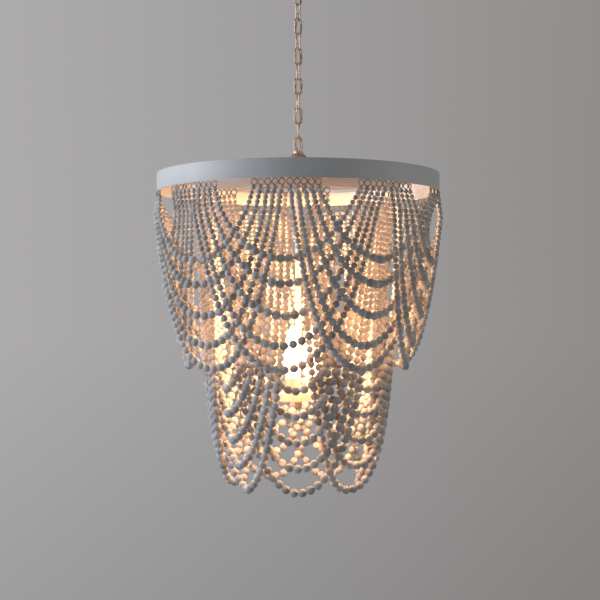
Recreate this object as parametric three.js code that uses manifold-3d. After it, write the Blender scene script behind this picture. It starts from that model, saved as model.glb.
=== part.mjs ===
// A two-tier beaded chandelier hung on a chain.
// Millimetres, +Z up. The origin is on the ceiling, over the chain: everything hangs below z = 0.
// The front looks along -Y. Plan angles are counted from -Y towards +X.
import * as THREE from 'three';
import { mergeVertices } from 'three/addons/utils/BufferGeometryUtils.js';
import Module from 'manifold-3d';

const wasm = await Module();
wasm.setup();

// Fits and common values
const seatGap = 0.3;            // between pieces that rest on each other
const cutOverrun = 2;           // how far a cutter runs past the face that it cuts
const joinSink = 0.6;           // how far a welded piece runs into the piece that carries it
const degree = Math.PI / 180;

// Driving dimensions of the ceiling fitting
const canopy = { radius: 60, height: 25, wall: 1.2, lip: 4, crownRadius: 13, shoulderShares: [0.62, 0.86],
  cheekShares: [0.9, 0.5] };
const bracket = { inset: 8, width: 18, thickness: 2.5, bossRadius: 9, bossHeight: 9, screwRadius: 2.2,
  screwInset: 13 };             // inset from the canopy's rim, the screws from the bar's ends
const bracketLength = 2 * (canopy.radius - bracket.inset);
const pipe = { radius: 5, bore: 3.5, clearance: 0.3 };
const collar = { radius: 11, height: 5 };

// Driving dimensions of the hanging loops and the chain
const loop = { wire: 3, width: 16, reach: 27, baseRadius: 9.5, baseHeight: 4 };
const link = { count: 11, length: 32, width: 16, wire: 2.6, twist: 4 * degree };

// Two thin cords wound through the links
const cord = { diameter: 2.2, windRadius: 4.05, entryRadius: 1.5, sides: 6, stepsPerLink: 3, tail: 3 };

// Driving dimensions of the frame, its heights counted down from the face that carries the lower loop
const dome = { radius: 32, shoulderRadius: 16.5, neckRadius: 10, shoulderDrop: 10, height: 24, wall: 1.2 };
const hub = { radius: 15, neckRadius: 8, neckHeight: 17, height: 30.6 };
const spider = { armCount: 4, plateRadius: 22, armWidth: 12, thickness: 3, tabHeight: 12 };
const lockNut = { radius: 9, height: 6 };
const band = { radius: 250, wall: 2, height: 32, drop: 42.5, sides: 40 };
const hoop = { inset: 69, wall: 2, height: 24, sides: 36 };     // inset from the band's outer face
const hoopRadius = band.radius - hoop.inset;

// Driving dimensions of the lamp cluster
const stemLength = 452;
const cluster = { radius: 35, height: 14, wall: 1.5, coverInset: 0.6, wireHoleRadius: 3 };
const finial = { radius: 6.8, height: 14.7, tipRadius: 3, boreDepth: 9.7 };
const lamp = { count: 3, orbit: 23.4, firstAngle: -30 * degree };
const sleeve = { radius: 11, wall: 1.1, height: 27 };
const socket = { radius: 9.3, bore: 6.4, height: 21, floor: 3 };
const bulb = { radius: 16.5, neckRadius: 6.8, height: 96, wall: 0.9, tipRadius: 1.8, capRadius: 5.9,
  capHeight: 19, postRadius: 2.4, postTipRadius: 1.5, postHeight: 30,
  profileShares: [[0, 0], [0.5, 0.12], [1, 0.31], [0.8, 0.58], [0.05, 0.85]] };

// Hanger rings, side by side under a hoop's lower edge
const ring = { outerRadius: 6, wire: 1.8, pitch: 11.2, countPerHalf: 5 };

// The beaded strings of the two tiers. Each tier's strings lie on one tapering surface, the legs on one
// side in front of it and those on the other side behind it, because neighbouring swags are laced together.
const outerTier = {
  name: 'outer_swag', groups: 9, firstAngle: -4.45 * degree, ringCircle: band.radius - band.wall / 2,
  sags: [115.6, 155.6, 206.6, 255.6, 294.6],
  leans: [-1.2, -1.4, -1.2, -3.4, -3].map((lean) => lean * degree),
  crossings: [3.3, 5.6, 10, 15, 15].map((width) => width * degree),
  taper: 55, straightShare: 0.65, taperPower: 3, frontSide: -1, layerOffset: 7.7, layerRun: 40,
  smallBead: 4, largeBead: 7.5,
};
const lowerTier = {
  name: 'lower_swag', groups: 7, firstAngle: -1 * degree, ringCircle: hoopRadius - hoop.wall / 2,
  sags: [324.6, 367.6, 412.6, 456.6, 499.6],
  leans: [-1, -1.4, -0.8, 0, 0].map((lean) => lean * degree),
  crossings: [7.5, 9, 11, 14, 16].map((width) => width * degree),
  taper: 68, straightShare: 0.62, taperPower: 8, frontSide: 1, layerOffset: 7.5, layerRun: 80,
  smallBead: 4, largeBead: 7.6,
};
const stringSides = 3;
const stringSteps = 4;          // along each leg, the last of which ends at its first bead
const footCrowding = 1.22;      // above 1, the steps are shorter towards the string's lowest point
const stringFullness = 1.12;    // section radius over bead radius, which gives the bead row's mean width
const beadGrading = 1.1;        // above 1, the beads grow more slowly near the rings

// Finishes
const finish = (color, roughness, metalness) =>
  new THREE.MeshStandardMaterial({ color, roughness, metalness, flatShading: true });
const paintedIron = finish('#8f939a', 0.55, 0.1);
const satinNickel = finish('#b9aea2', 0.35, 0.9);
const ringSteel = finish('#8d8a86', 0.4, 0.8);
const washedWood = finish('#7d838a', 0.8, 0);
const whiteEnamel = finish('#f1e9dc', 0.5, 0);
const phenolic = finish('#d8d2c4', 0.6, 0);
const lampGlass = finish('#fff1d8', 0.08, 0);
const brassCap = finish('#b89a5c', 0.4, 0.8);
const greyCord = finish('#6d6660', 0.7, 0);

const chandelier = new THREE.Group();

function addPiece(name, geometry, material, parent = chandelier) {
  const mesh = new THREE.Mesh(geometry, material);
  mesh.name = name;
  parent.add(mesh);
  return mesh;
}

// Solids for cutting and joining
function toSolid(geometry) {
  const bare = new THREE.BufferGeometry();
  bare.setAttribute('position', geometry.getAttribute('position'));
  bare.setIndex(geometry.getIndex());
  const merged = mergeVertices(bare, 1e-4);
  return new wasm.Manifold(new wasm.Mesh({
    numProp: 3,
    vertProperties: new Float32Array(merged.getAttribute('position').array),
    triVerts: new Uint32Array(merged.getIndex().array),
  }));
}

function toGeometry(solid) {
  const mesh = solid.getMesh();
  const geometry = new THREE.BufferGeometry();
  geometry.setAttribute('position', new THREE.BufferAttribute(mesh.vertProperties, mesh.numProp));
  geometry.setIndex(new THREE.BufferAttribute(mesh.triVerts, 1));
  return geometry;
}

const join = (first, ...others) =>
  toGeometry(others.reduce((whole, other) => whole.add(toSolid(other)), toSolid(first)));
const cut = (body, ...cutters) =>
  toGeometry(cutters.reduce((whole, cutter) => whole.subtract(toSolid(cutter)), toSolid(body)));

// A turned piece about Z. The profile is a list of [radius, height], upwards on its outer side.
function turned(profile, segments) {
  const points = profile.map(([radius, height]) => new THREE.Vector2(radius, height));
  const touchesAxis = profile[0][0] === 0 && profile[profile.length - 1][0] === 0;
  if (!touchesAxis) points.push(points[0].clone());
  return new THREE.LatheGeometry(points, segments).rotateX(Math.PI / 2);
}

// A cylindrical wall from one height up to another.
const pipeWall = (inner, outer, bottom, top, segments) =>
  turned([[inner, bottom], [outer, bottom], [outer, top], [inner, top]], segments);

const rod = (radius, bottom, top, segments) =>
  turned([[0, bottom], [radius, bottom], [radius, top], [0, top]], segments);

const block = (sizeX, sizeY, sizeZ, x, y, z) => new THREE.BoxGeometry(sizeX, sizeY, sizeZ).translate(x, y, z);

// A tube through the given points. firstAxis(i) is the direction that the section's angles start from.
// A closed tube is a loop, and a pointed one ends in its first and last point.
function sweep(points, radiusAt, sides, firstAxis, { closed = false, pointed = false, turn = 0 } = {}) {
  const count = points.length;
  const positions = [];
  const rings = [];
  points.forEach((point, i) => {
    if (pointed && (i === 0 || i === count - 1)) {
      rings.push(Array(sides).fill(positions.length / 3));
      positions.push(point.x, point.y, point.z);
      return;
    }
    const before = points[closed ? (i + count - 1) % count : Math.max(i - 1, 0)];
    const after = points[closed ? (i + 1) % count : Math.min(i + 1, count - 1)];
    const along = after.clone().sub(before).normalize();
    const second = along.clone().cross(firstAxis(i)).normalize();
    const first = second.clone().cross(along);
    rings.push(Array.from({ length: sides }, (_, j) => positions.length / 3 + j));
    for (let j = 0; j < sides; j += 1) {
      const angle = turn + (2 * Math.PI * j) / sides;
      const spot = point.clone()
        .addScaledVector(first, radiusAt(i) * Math.cos(angle))
        .addScaledVector(second, radiusAt(i) * Math.sin(angle));
      positions.push(spot.x, spot.y, spot.z);
    }
  });
  const faces = [];
  for (let i = 0; i < (closed ? count : count - 1); i += 1) {
    const here = rings[i];
    const next = rings[(i + 1) % count];
    for (let j = 0; j < sides; j += 1) {
      const k = (j + 1) % sides;
      if (here[j] !== here[k]) faces.push(here[j], here[k], next[k]);
      if (next[j] !== next[k]) faces.push(here[j], next[k], next[j]);
    }
  }
  if (!closed && !pointed) {
    const last = rings[count - 1];
    for (let j = 1; j < sides - 1; j += 1) {
      faces.push(0, j + 1, j);
      faces.push(last[0], last[j], last[j + 1]);
    }
  }
  const geometry = new THREE.BufferGeometry();
  geometry.setAttribute('position', new THREE.Float32BufferAttribute(positions, 3));
  geometry.setIndex(faces);
  return geometry;
}

const aroundZ = (angle) => new THREE.Vector3(Math.sin(angle), -Math.cos(angle), 0);

// Heights down the ceiling fitting and the chain
const collarTop = -canopy.height - seatGap;
const loopBaseTop = collarTop - collar.height - seatGap;
const upperLoopFace = loopBaseTop - loop.baseHeight;
const upperLoopWire = upperLoopFace - loop.reach + loop.wire / 2;
const wireStep = link.length - link.wire;                        // between a link's two end wires
const linkDrop = wireStep - link.wire - seatGap;                 // from one link to the next
const hangGap = (loop.wire + link.wire) / 2 + seatGap;
const firstLinkTop = upperLoopWire + hangGap;
const linkTop = (index) => firstLinkTop - index * linkDrop;
const lastLinkFoot = linkTop(link.count - 1) - wireStep;
const lowerLoopWire = lastLinkFoot + hangGap;
const datum = lowerLoopWire + loop.wire / 2 - loop.reach;        // the face that the lower loop stands on

// The chain turns a little from link to link. Index 0 is the link at the top, and the lower loop faces front.
const linkTurn = (index) => (link.count - index) * (Math.PI / 2 + link.twist);

// An oval ring of round wire in the XZ plane, its end wires at the two heights.
function chainLink(topWire) {
  const bend = (link.width - link.wire) / 2;
  const bendSteps = 4;
  const points = [];
  const upperBend = topWire - bend;
  const lowerBend = topWire - wireStep + bend;
  for (let i = 0; i <= bendSteps; i += 1) {
    const angle = (Math.PI * i) / bendSteps;
    points.push(new THREE.Vector3(bend * Math.cos(angle), 0, upperBend + bend * Math.sin(angle)));
  }
  for (let i = 0; i <= bendSteps; i += 1) {
    const angle = Math.PI + (Math.PI * i) / bendSteps;
    points.push(new THREE.Vector3(bend * Math.cos(angle), 0, lowerBend + bend * Math.sin(angle)));
  }
  const across = new THREE.Vector3(0, 1, 0);
  return sweep(points, () => link.wire / 2, 6, () => across, { closed: true, turn: Math.PI / 6 });
}

// A U of wire on a bored disc. It stands on z = 0 and opens nowhere: the chain passes through the U.
function hangingLoop() {
  const bend = (loop.width - loop.wire) / 2;
  const bendCentre = loop.reach - loop.wire / 2 - bend;
  const bendSteps = 6;
  const points = [new THREE.Vector3(bend, 0, -joinSink)];
  for (let i = 0; i <= bendSteps; i += 1) {
    const angle = (Math.PI * i) / bendSteps;
    points.push(new THREE.Vector3(bend * Math.cos(angle), 0, bendCentre + bend * Math.sin(angle)));
  }
  points.push(new THREE.Vector3(-bend, 0, -joinSink));
  const across = new THREE.Vector3(0, 1, 0);
  const wire = sweep(points, () => loop.wire / 2, 6, () => across, { turn: Math.PI / 6 });
  const base = pipeWall(pipe.radius + pipe.clearance, loop.baseRadius, -loop.baseHeight, 0, 14);
  return join(base, wire);
}

// Ceiling fitting: a bar with a blind boss, a pipe nipple in the boss, the canopy and what holds it up
function ceilingFitting() {
  const barMiddle = -bracket.thickness / 2;
  const bar = block(bracketLength, bracket.width, bracket.thickness, 0, 0, barMiddle);
  const bossFoot = -bracket.thickness - bracket.bossHeight;
  const bore = pipe.radius + pipe.clearance;
  const boss = pipeWall(bore, bracket.bossRadius, bossFoot, -bracket.thickness + joinSink, 16);
  const holes = [-1, 1].map((side) => rod(
    bracket.screwRadius, -bracket.thickness - cutOverrun, cutOverrun, 8,
  ).translate(side * (bracketLength / 2 - bracket.screwInset), 0, 0));
  addPiece('canopy_bracket', join(cut(bar, ...holes), boss), satinNickel);

  const nippleFoot = upperLoopFace + joinSink;
  addPiece('canopy_nipple', pipeWall(pipe.bore, pipe.radius, nippleFoot, -bracket.thickness - seatGap, 12),
    satinNickel);

  const { radius, height, wall, lip, crownRadius } = canopy;
  const shoulder = [radius * canopy.shoulderShares[0], -height * canopy.shoulderShares[1]];
  const cheek = [radius * canopy.cheekShares[0], -height * canopy.cheekShares[1]];
  const outer = [[crownRadius, -height], shoulder, cheek, [radius, -lip], [radius, 0]];
  const inner = [[radius - wall, 0], [radius - wall, -lip], [cheek[0] - wall, cheek[1] + wall],
    [shoulder[0] - wall, shoulder[1] + wall], [bore, wall - height]];
  addPiece('canopy', turned([[bore, -height], ...outer, ...inner], 16), satinNickel);

  const collarFoot = collarTop - collar.height;
  addPiece('canopy_collar', pipeWall(bore, collar.radius, collarFoot, collarTop, 16), satinNickel);

  const upperLoop = addPiece('canopy_loop', hangingLoop(), satinNickel);
  upperLoop.rotation.set(Math.PI, 0, linkTurn(-1), 'ZYX');
  upperLoop.position.z = upperLoopFace;
}

function chain() {
  for (let index = 0; index < link.count; index += 1) {
    const name = `chain_link_${String(index + 1).padStart(2, '0')}`;
    const piece = addPiece(name, chainLink(linkTop(index)), satinNickel);
    piece.rotation.z = linkTurn(index);
  }
}

// The cords turn with the chain, so each one passes through every link on its own side of the wires.
function cords() {
  const top = upperLoopFace + cord.tail;
  const foot = datum - cord.tail;
  const lowestCrossing = lastLinkFoot + hangGap / 2;
  const steps = Math.round(((top - foot) / linkDrop) * cord.stepsPerLink);
  ['supply_cord', 'earth_wire'].forEach((name, number) => {
    const angles = [];
    const points = [];
    for (let i = 0; i <= steps; i += 1) {
      const z = top + ((foot - top) * i) / steps;
      const crossings = (z - lowestCrossing) / linkDrop;
      const angle = (crossings + 0.5) * (Math.PI / 2 + link.twist) + number * Math.PI;
      const fromEnd = Math.min(top - z, z - foot);
      const opening = THREE.MathUtils.smoothstep(fromEnd, cord.tail, cord.tail + loop.reach / 2);
      const radius = cord.entryRadius + (cord.windRadius - cord.entryRadius) * opening;
      angles.push(angle);
      points.push(new THREE.Vector3(radius * Math.cos(angle), radius * Math.sin(angle), z));
    }
    const outward = (i) => new THREE.Vector3(Math.cos(angles[i]), Math.sin(angles[i]), 0);
    addPiece(name, sweep(points, () => cord.diameter / 2, cord.sides, outward), greyCord);
  });
}

// Heights of the frame
const hubTop = datum - loop.baseHeight - seatGap - dome.wall - seatGap;
const hubFoot = hubTop - hub.height - hub.neckHeight;
const spiderTop = hubFoot - seatGap;
const spiderFoot = spiderTop - spider.thickness;
const bandTop = datum - band.drop;
const bandFoot = bandTop - band.height;
const hoopTop = spiderFoot - seatGap;
const hoopFoot = hoopTop - hoop.height;

function frame() {
  addPiece('fixture_loop', hangingLoop(), satinNickel).position.z = datum;

  const bore = pipe.radius + pipe.clearance;
  const domeTop = datum - loop.baseHeight - seatGap;
  const outer = [[dome.radius, domeTop - dome.height], [dome.radius, domeTop - dome.height + dome.wall * 2],
    [(dome.radius + dome.shoulderRadius) / 2, domeTop - (dome.height + dome.shoulderDrop) / 2],
    [dome.shoulderRadius, domeTop - dome.shoulderDrop * 0.6], [dome.neckRadius, domeTop]];
  const inner = outer.map(([radius, height]) => [radius - dome.wall, height - dome.wall]).reverse();
  inner[inner.length - 1][1] = domeTop - dome.height;
  const profile = [...outer, [bore, domeTop], [bore, domeTop - dome.wall], ...inner];
  addPiece('dome', turned(profile, 16), satinNickel);

  const neckFoot = hubTop - hub.neckHeight;
  addPiece('hub', turned([[bore, hubFoot], [hub.radius, hubFoot], [hub.radius, neckFoot],
    [hub.neckRadius, neckFoot], [hub.neckRadius, hubTop], [bore, hubTop]], 12), paintedIron);

  const innerFlat = (band.radius - band.wall) * Math.cos(Math.PI / band.sides);
  const span = 2 * (innerFlat - seatGap);
  const middle = (spiderTop + spiderFoot) / 2;
  const plate = rod(spider.plateRadius, spiderFoot, spiderTop, 20);
  const alongX = block(span, spider.armWidth, spider.thickness, 0, 0, middle);
  const alongY = block(spider.armWidth, span, spider.thickness, 0, 0, middle);
  const tabs = Array.from({ length: spider.armCount }, (_, quarter) => block(
    spider.thickness, spider.armWidth, spider.tabHeight + joinSink,
    (span - spider.thickness) / 2, 0, spiderTop + (spider.tabHeight - joinSink) / 2,
  ).rotateZ((2 * Math.PI * quarter) / spider.armCount));
  const hole = rod(bore, spiderFoot - cutOverrun, spiderTop + cutOverrun, 12);
  addPiece('spider', cut(join(plate, alongX, alongY, ...tabs), hole), paintedIron);

  const nutTop = spiderFoot - seatGap;
  const hexagon = rod(lockNut.radius, nutTop - lockNut.height, nutTop, 6);
  const nutHole = rod(bore, nutTop - lockNut.height - cutOverrun, nutTop + cutOverrun, 12);
  addPiece('lock_nut', cut(hexagon, nutHole), satinNickel);

  const bandWall = pipeWall(band.radius - band.wall, band.radius, bandFoot, bandTop, band.sides);
  addPiece('outer_band', bandWall, paintedIron).rotation.z = Math.PI / band.sides;
  const hoopWall = pipeWall(hoopRadius - hoop.wall, hoopRadius, hoopFoot, hoopTop, hoop.sides);
  addPiece('inner_hoop', hoopWall, paintedIron).rotation.z = Math.PI / hoop.sides;
}

// Heights of the lamp cluster
const stemTop = datum - joinSink - seatGap;
const stemFoot = stemTop - stemLength;
const clusterFoot = stemFoot + finial.boreDepth + seatGap;
const clusterTop = clusterFoot + cluster.height;

function lampCluster() {
  addPiece('stem', pipeWall(pipe.bore, pipe.radius, stemFoot, stemTop, 12), paintedIron);

  const bore = pipe.radius + pipe.clearance;
  const { radius, wall } = cluster;
  const plateFoot = clusterTop - wall;
  const lampAngle = (index) => lamp.firstAngle + (2 * Math.PI * index) / lamp.count;
  const lampSpot = (index) => aroundZ(lampAngle(index)).multiplyScalar(lamp.orbit);
  const shell = turned([[bore, plateFoot], [radius - wall, plateFoot], [radius - wall, clusterFoot],
    [radius, clusterFoot], [radius, clusterTop], [bore, clusterTop]], 20);
  const wireHoles = Array.from({ length: lamp.count }, (_, index) => {
    const spot = lampSpot(index);
    return rod(cluster.wireHoleRadius, plateFoot - cutOverrun, clusterTop + cutOverrun, 8)
      .translate(spot.x, spot.y, 0);
  });
  addPiece('cluster_body', cut(shell, ...wireHoles), whiteEnamel);

  const coverRadius = radius - wall - cluster.coverInset;
  addPiece('cluster_cover', pipeWall(bore, coverRadius, clusterFoot, clusterFoot + wall, 16), whiteEnamel);

  const finialTop = clusterFoot - seatGap;
  const finialFoot = finialTop - finial.height;
  const boreEnd = finialTop - finial.boreDepth - seatGap;
  addPiece('finial', turned([[0, finialFoot], [finial.tipRadius, finialFoot],
    [finial.radius, finialFoot + (finial.radius - finial.tipRadius)], [finial.radius, finialTop],
    [bore, finialTop], [bore, boreEnd], [0, boreEnd]], 12), satinNickel);

  const base = clusterTop + seatGap;
  const socketTop = base + socket.height;
  const socketFloor = base + socket.floor;
  const capFoot = socketFloor + seatGap;
  const capTop = capFoot + bulb.capHeight;
  for (let index = 0; index < lamp.count; index += 1) {
    const holder = new THREE.Group();
    holder.position.copy(lampSpot(index));
    holder.rotation.z = lampAngle(index);
    chandelier.add(holder);
    const number = index + 1;
    const sleeveWall = pipeWall(sleeve.radius - sleeve.wall, sleeve.radius, base, base + sleeve.height, 12);
    addPiece(`candle_sleeve_${number}`, sleeveWall, whiteEnamel, holder);
    const cup = [[0, base], [socket.radius, base], [socket.radius, socketTop], [socket.bore, socketTop],
      [socket.bore, socketFloor], [0, socketFloor]];
    addPiece(`lamp_socket_${number}`, turned(cup, 8), phenolic, holder);
    const cap = [[0, capFoot], [bulb.capRadius, capFoot], [bulb.capRadius, capTop], [bulb.postRadius, capTop],
      [bulb.postTipRadius, capTop + bulb.postHeight], [0, capTop + bulb.postHeight]];
    addPiece(`bulb_cap_${number}`, turned(cap, 8), brassCap, holder);
    addPiece(`bulb_glass_${number}`, bulbGlass(capTop + seatGap), lampGlass, holder);
  }
}

// A candle bulb's envelope: a blown shell, open at its neck.
function bulbGlass(foot) {
  const { radius, neckRadius, height, wall, tipRadius, profileShares } = bulb;
  const outer = profileShares.map(([radiusShare, heightShare]) =>
    [neckRadius + (radius - neckRadius) * radiusShare, foot + height * heightShare]);
  const shoulder = outer[outer.length - 1];
  const tip = foot + height;
  const inner = outer.map(([reach, level]) => [reach - wall, level]).reverse();
  inner[0][1] = shoulder[1] - wall;
  return turned([...outer, [tipRadius, tip - tipRadius], [0, tip], [0, shoulder[1] + wall], ...inner,
    outer[0]], 8);
}

// Swags
const ringReach = ring.outerRadius * Math.sin(Math.PI / 3);
const ringCentreline = ring.outerRadius - ring.wire / 2;
const ringEye = ringCentreline * Math.sin(Math.PI / 3);

// Six-cornered wire rings in a row round the hoop, each one grown into the next at their side corners.
function ringRow(circle, height, angles) {
  const cornerCount = 6;
  const positions = [];
  const faces = [];
  const addPoint = (angle, aside, up, outward) => {
    const spot = aroundZ(angle).multiplyScalar(circle + outward);
    positions.push(spot.x + aside * Math.cos(angle), spot.y + aside * Math.sin(angle), height + up);
    return positions.length / 3 - 1;
  };
  const addQuad = (a, b, c, d) => faces.push(a, b, c, a, c, d);
  const cornerAt = (angle, i, radius, outward) => {
    const around = (2 * Math.PI * i) / cornerCount;
    return addPoint(angle, radius * Math.cos(around), radius * Math.sin(around), outward);
  };
  const eyeRadius = ringCentreline - ring.wire / 4;
  const halfDepth = (ring.wire / 2) * Math.sin(Math.PI / 3);
  let before = null;
  angles.forEach((angle, number) => {
    const around = Array.from({ length: cornerCount }, (_, i) => i);
    const front = around.map((i) => cornerAt(angle, i, eyeRadius, halfDepth));
    const back = around.map((i) => cornerAt(angle, i, eyeRadius, -halfDepth));
    const tips = around.map((i) => {
      const joined = (i === 0 && number < angles.length - 1) || (i === 3 && number > 0);
      return joined ? null : cornerAt(angle, i, ring.outerRadius, 0);
    });
    let after = null;
    if (number < angles.length - 1) {
      const halfStep = (angles[number + 1] - angle) / 2;
      const notch = (ring.outerRadius - circle * Math.sin(halfStep)) * Math.tan(Math.PI / 3);
      const middle = angle + halfStep;
      const above = addPoint(middle, 0, notch, 0);
      const below = addPoint(middle, 0, -notch, 0);
      after = { above, below, front: front[0], back: back[0] };
    }
    around.forEach((i) => {
      const j = (i + 1) % cornerCount;
      const tipHere = tips[i] ?? (i === 0 ? after.above : before.below);
      const tipNext = tips[j] ?? (j === 0 ? after.below : before.above);
      addQuad(tipHere, tipNext, front[j], front[i]);
      addQuad(tipHere, back[i], back[j], tipNext);
      addQuad(front[i], front[j], back[j], back[i]);
    });
    if (before) {
      addQuad(before.front, before.below, front[3], before.above);
      addQuad(before.back, before.above, back[3], before.below);
    }
    before = after;
  });
  const geometry = new THREE.BufferGeometry();
  geometry.setAttribute('position', new THREE.Float32BufferAttribute(positions, 3));
  geometry.setIndex(faces);
  return geometry;
}

// From a cluster's middle to the ring that ends a string, the longest string's ring being the nearest.
const ringOffset = (string) =>
  ring.outerRadius + seatGap + (ring.countPerHalf - 1 - string) * ring.pitch;

// A hanging curve's steepness, from its sag over half its span.
function steepnessFor(ratio) {
  let low = 0.01;
  let high = 10;
  for (let i = 0; i < 50; i += 1) {
    const middle = (low + high) / 2;
    if ((Math.cosh(middle) - 1) / middle < ratio) low = middle;
    else high = middle;
  }
  return low;
}

// One string's middle line, for t from -1 at its left ring to 1 at its right ring.
function stringLine(tier, string) {
  const spacing = (2 * Math.PI) / tier.groups;
  const halfSpan = spacing - ringOffset(string) / tier.ringCircle;
  const halfChord = tier.ringCircle * Math.sin(halfSpan);
  const chordDistance = tier.ringCircle * Math.cos(halfSpan);
  const sag = tier.sags[string];
  const steepness = steepnessFor(sag / halfChord);
  const depth = tier.sags[tier.sags.length - 1];
  const crossing = tier.crossings[string];
  const footShare = (chordDistance * Math.tan(crossing)) / halfChord;
  const fall = (drop) => Math.cosh(steepness) - (drop / sag) * (Math.cosh(steepness) - 1);
  return {
    shareAt: (drop) => Math.acosh(fall(drop)) / steepness,
    at(t) {
      const angle = Math.atan2(halfChord * t, chordDistance) + tier.leans[string] * (1 - t * t);
      const drop = (sag * (Math.cosh(steepness) - Math.cosh(steepness * t))) / (Math.cosh(steepness) - 1);
      const share = drop / depth;
      const side = THREE.MathUtils.clamp(t / footShare, -1, 1) * tier.frontSide;
      const layer = side * tier.layerOffset * THREE.MathUtils.smoothstep(drop, 0, tier.layerRun);
      const narrowing = tier.straightShare * share + (1 - tier.straightShare) * share ** tier.taperPower;
      const radius = tier.ringCircle - tier.taper * narrowing + layer;
      const fromRing = 1 - Math.abs(Math.sinh(steepness * t)) / Math.sinh(steepness);
      const bead = tier.smallBead + (tier.largeBead - tier.smallBead) * fromRing ** beadGrading;
      return { angle, drop, radius, bead };
    },
  };
}

// One swag about the plan angle 0: five nested strings and the rings that they hang from.
function swag(tier, edge) {
  const ringHeight = edge - seatGap - ringReach;
  const pieces = [];
  const leftAngles = [];
  const rightAngles = [];
  for (let string = 0; string < ring.countPerHalf; string += 1) {
    const line = stringLine(tier, string);
    const stations = [0];
    for (let i = 1; i < stringSteps; i += 1) stations.push((i / stringSteps) ** footCrowding);
    stations.push(line.shareAt(2 * tier.smallBead), 1);
    stations.slice(1).forEach((t) => stations.unshift(-t));
    const samples = stations.map((t) => line.at(t));
    const points = samples.map(({ angle, drop, radius }) =>
      aroundZ(angle).multiplyScalar(radius).setZ(ringHeight - ringEye - drop));
    pieces.push(sweep(points, (i) => samples[i].bead * stringFullness, stringSides,
      (i) => aroundZ(samples[i].angle), { pointed: true }));
    leftAngles.push(samples[0].angle);
    rightAngles.unshift(samples[samples.length - 1].angle);
  }
  pieces.push(ringRow(tier.ringCircle, ringHeight, leftAngles.reverse()));
  pieces.push(ringRow(tier.ringCircle, ringHeight, rightAngles.reverse()));
  return join(...pieces);
}

function swags(tier, edge) {
  const geometry = swag(tier, edge);
  for (let group = 0; group < tier.groups; group += 1) {
    addPiece(`${tier.name}_${group + 1}`, geometry, washedWood).rotation.z =
      tier.firstAngle + (2 * Math.PI * group) / tier.groups;
  }
}

ceilingFitting();
chain();
cords();
frame();
lampCluster();
swags(outerTier, bandFoot);
swags(lowerTier, hoopFoot);

export default chandelier;
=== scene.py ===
import math

import bpy
import numpy as np
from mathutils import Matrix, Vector


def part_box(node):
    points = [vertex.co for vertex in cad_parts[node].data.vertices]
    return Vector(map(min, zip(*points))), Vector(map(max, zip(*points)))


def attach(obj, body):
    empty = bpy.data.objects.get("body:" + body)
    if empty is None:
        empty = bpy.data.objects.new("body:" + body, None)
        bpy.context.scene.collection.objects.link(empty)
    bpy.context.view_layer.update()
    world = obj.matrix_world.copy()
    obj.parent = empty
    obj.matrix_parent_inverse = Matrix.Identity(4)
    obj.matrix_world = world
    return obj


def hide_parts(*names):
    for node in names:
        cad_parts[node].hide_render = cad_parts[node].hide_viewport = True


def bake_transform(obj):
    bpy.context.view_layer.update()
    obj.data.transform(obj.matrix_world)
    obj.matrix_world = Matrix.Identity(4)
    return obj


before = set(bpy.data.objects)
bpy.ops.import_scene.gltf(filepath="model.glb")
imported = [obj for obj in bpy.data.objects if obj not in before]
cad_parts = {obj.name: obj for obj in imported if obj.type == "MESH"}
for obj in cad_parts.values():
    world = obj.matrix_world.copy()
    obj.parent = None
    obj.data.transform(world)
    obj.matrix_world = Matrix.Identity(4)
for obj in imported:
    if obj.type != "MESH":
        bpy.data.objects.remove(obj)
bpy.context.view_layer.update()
mm = 0.001
turn = 2 * math.pi
degree = math.pi / 180


def lowOf(node):
    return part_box(node)[0][2] / mm


def highOf(node):
    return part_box(node)[1][2] / mm


def middleOf(node):
    low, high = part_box(node)
    return (low[0] + high[0]) / 2 / mm, (low[1] + high[1]) / 2 / mm


# The camera stands level with the picture's horizon, which lies among the outer strings.
cameraSet = {
    "distance": 2100,             # mm from the chandelier's axis
    "underLoopDisc": 287,         # mm below the disc that carries the lower loop
    "pixels": 600,                # width and height of the photograph
    "focalPixels": 1179.8,        # the lens's focal length in those pixels
    "axisPixel": 298.15,          # column of the chandelier's axis
    "horizonPixel": 313.0,        # row of the horizon
    "sensorWidth": 36.0,
    "clipEnd": 60,                # metres
}
loopSet = {
    "wire": 3,                    # mm, as all lengths below
    "width": 16,
    "reach": 27,                  # from the disc's face to the far side of the bend
    "footSink": 1,                # the U's feet run this far into the disc
    "discRadius": 9.5,
    "discHeight": 4,
    "bore": 5.3,                  # the bore of every piece on the threaded pipe
    "edge": 0.7,
    "steps": 49,
    "sides": 14,
    "segments": 48,
}
discTop = highOf("fixture_loop") - loopSet["reach"]


def addCamera():
    camera = bpy.data.objects.new("camera", bpy.data.cameras.new("camera"))
    bpy.context.collection.objects.link(camera)
    pixels = cameraSet["pixels"]
    camera.location = (0, -cameraSet["distance"] * mm, (discTop - cameraSet["underLoopDisc"]) * mm)
    camera.rotation_euler = (math.pi / 2, 0, 0)
    camera.data.sensor_width = cameraSet["sensorWidth"]
    camera.data.lens = cameraSet["focalPixels"] / pixels * cameraSet["sensorWidth"]
    camera.data.shift_x = (pixels / 2 - cameraSet["axisPixel"]) / pixels
    camera.data.shift_y = (cameraSet["horizonPixel"] - pixels / 2) / pixels
    camera.data.clip_end = cameraSet["clipEnd"]
    bpy.context.scene.camera = camera


addCamera()
print("camera placed")


# Meshes out of arrays

def unit(vectors):
    return vectors / np.linalg.norm(vectors, axis=-1, keepdims=True)


# A share from 0 to 1 that is level at both ends: share * share * (3 - 2 * share).
def eased(share):
    return share * share * (3 - 2 * share)


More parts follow.
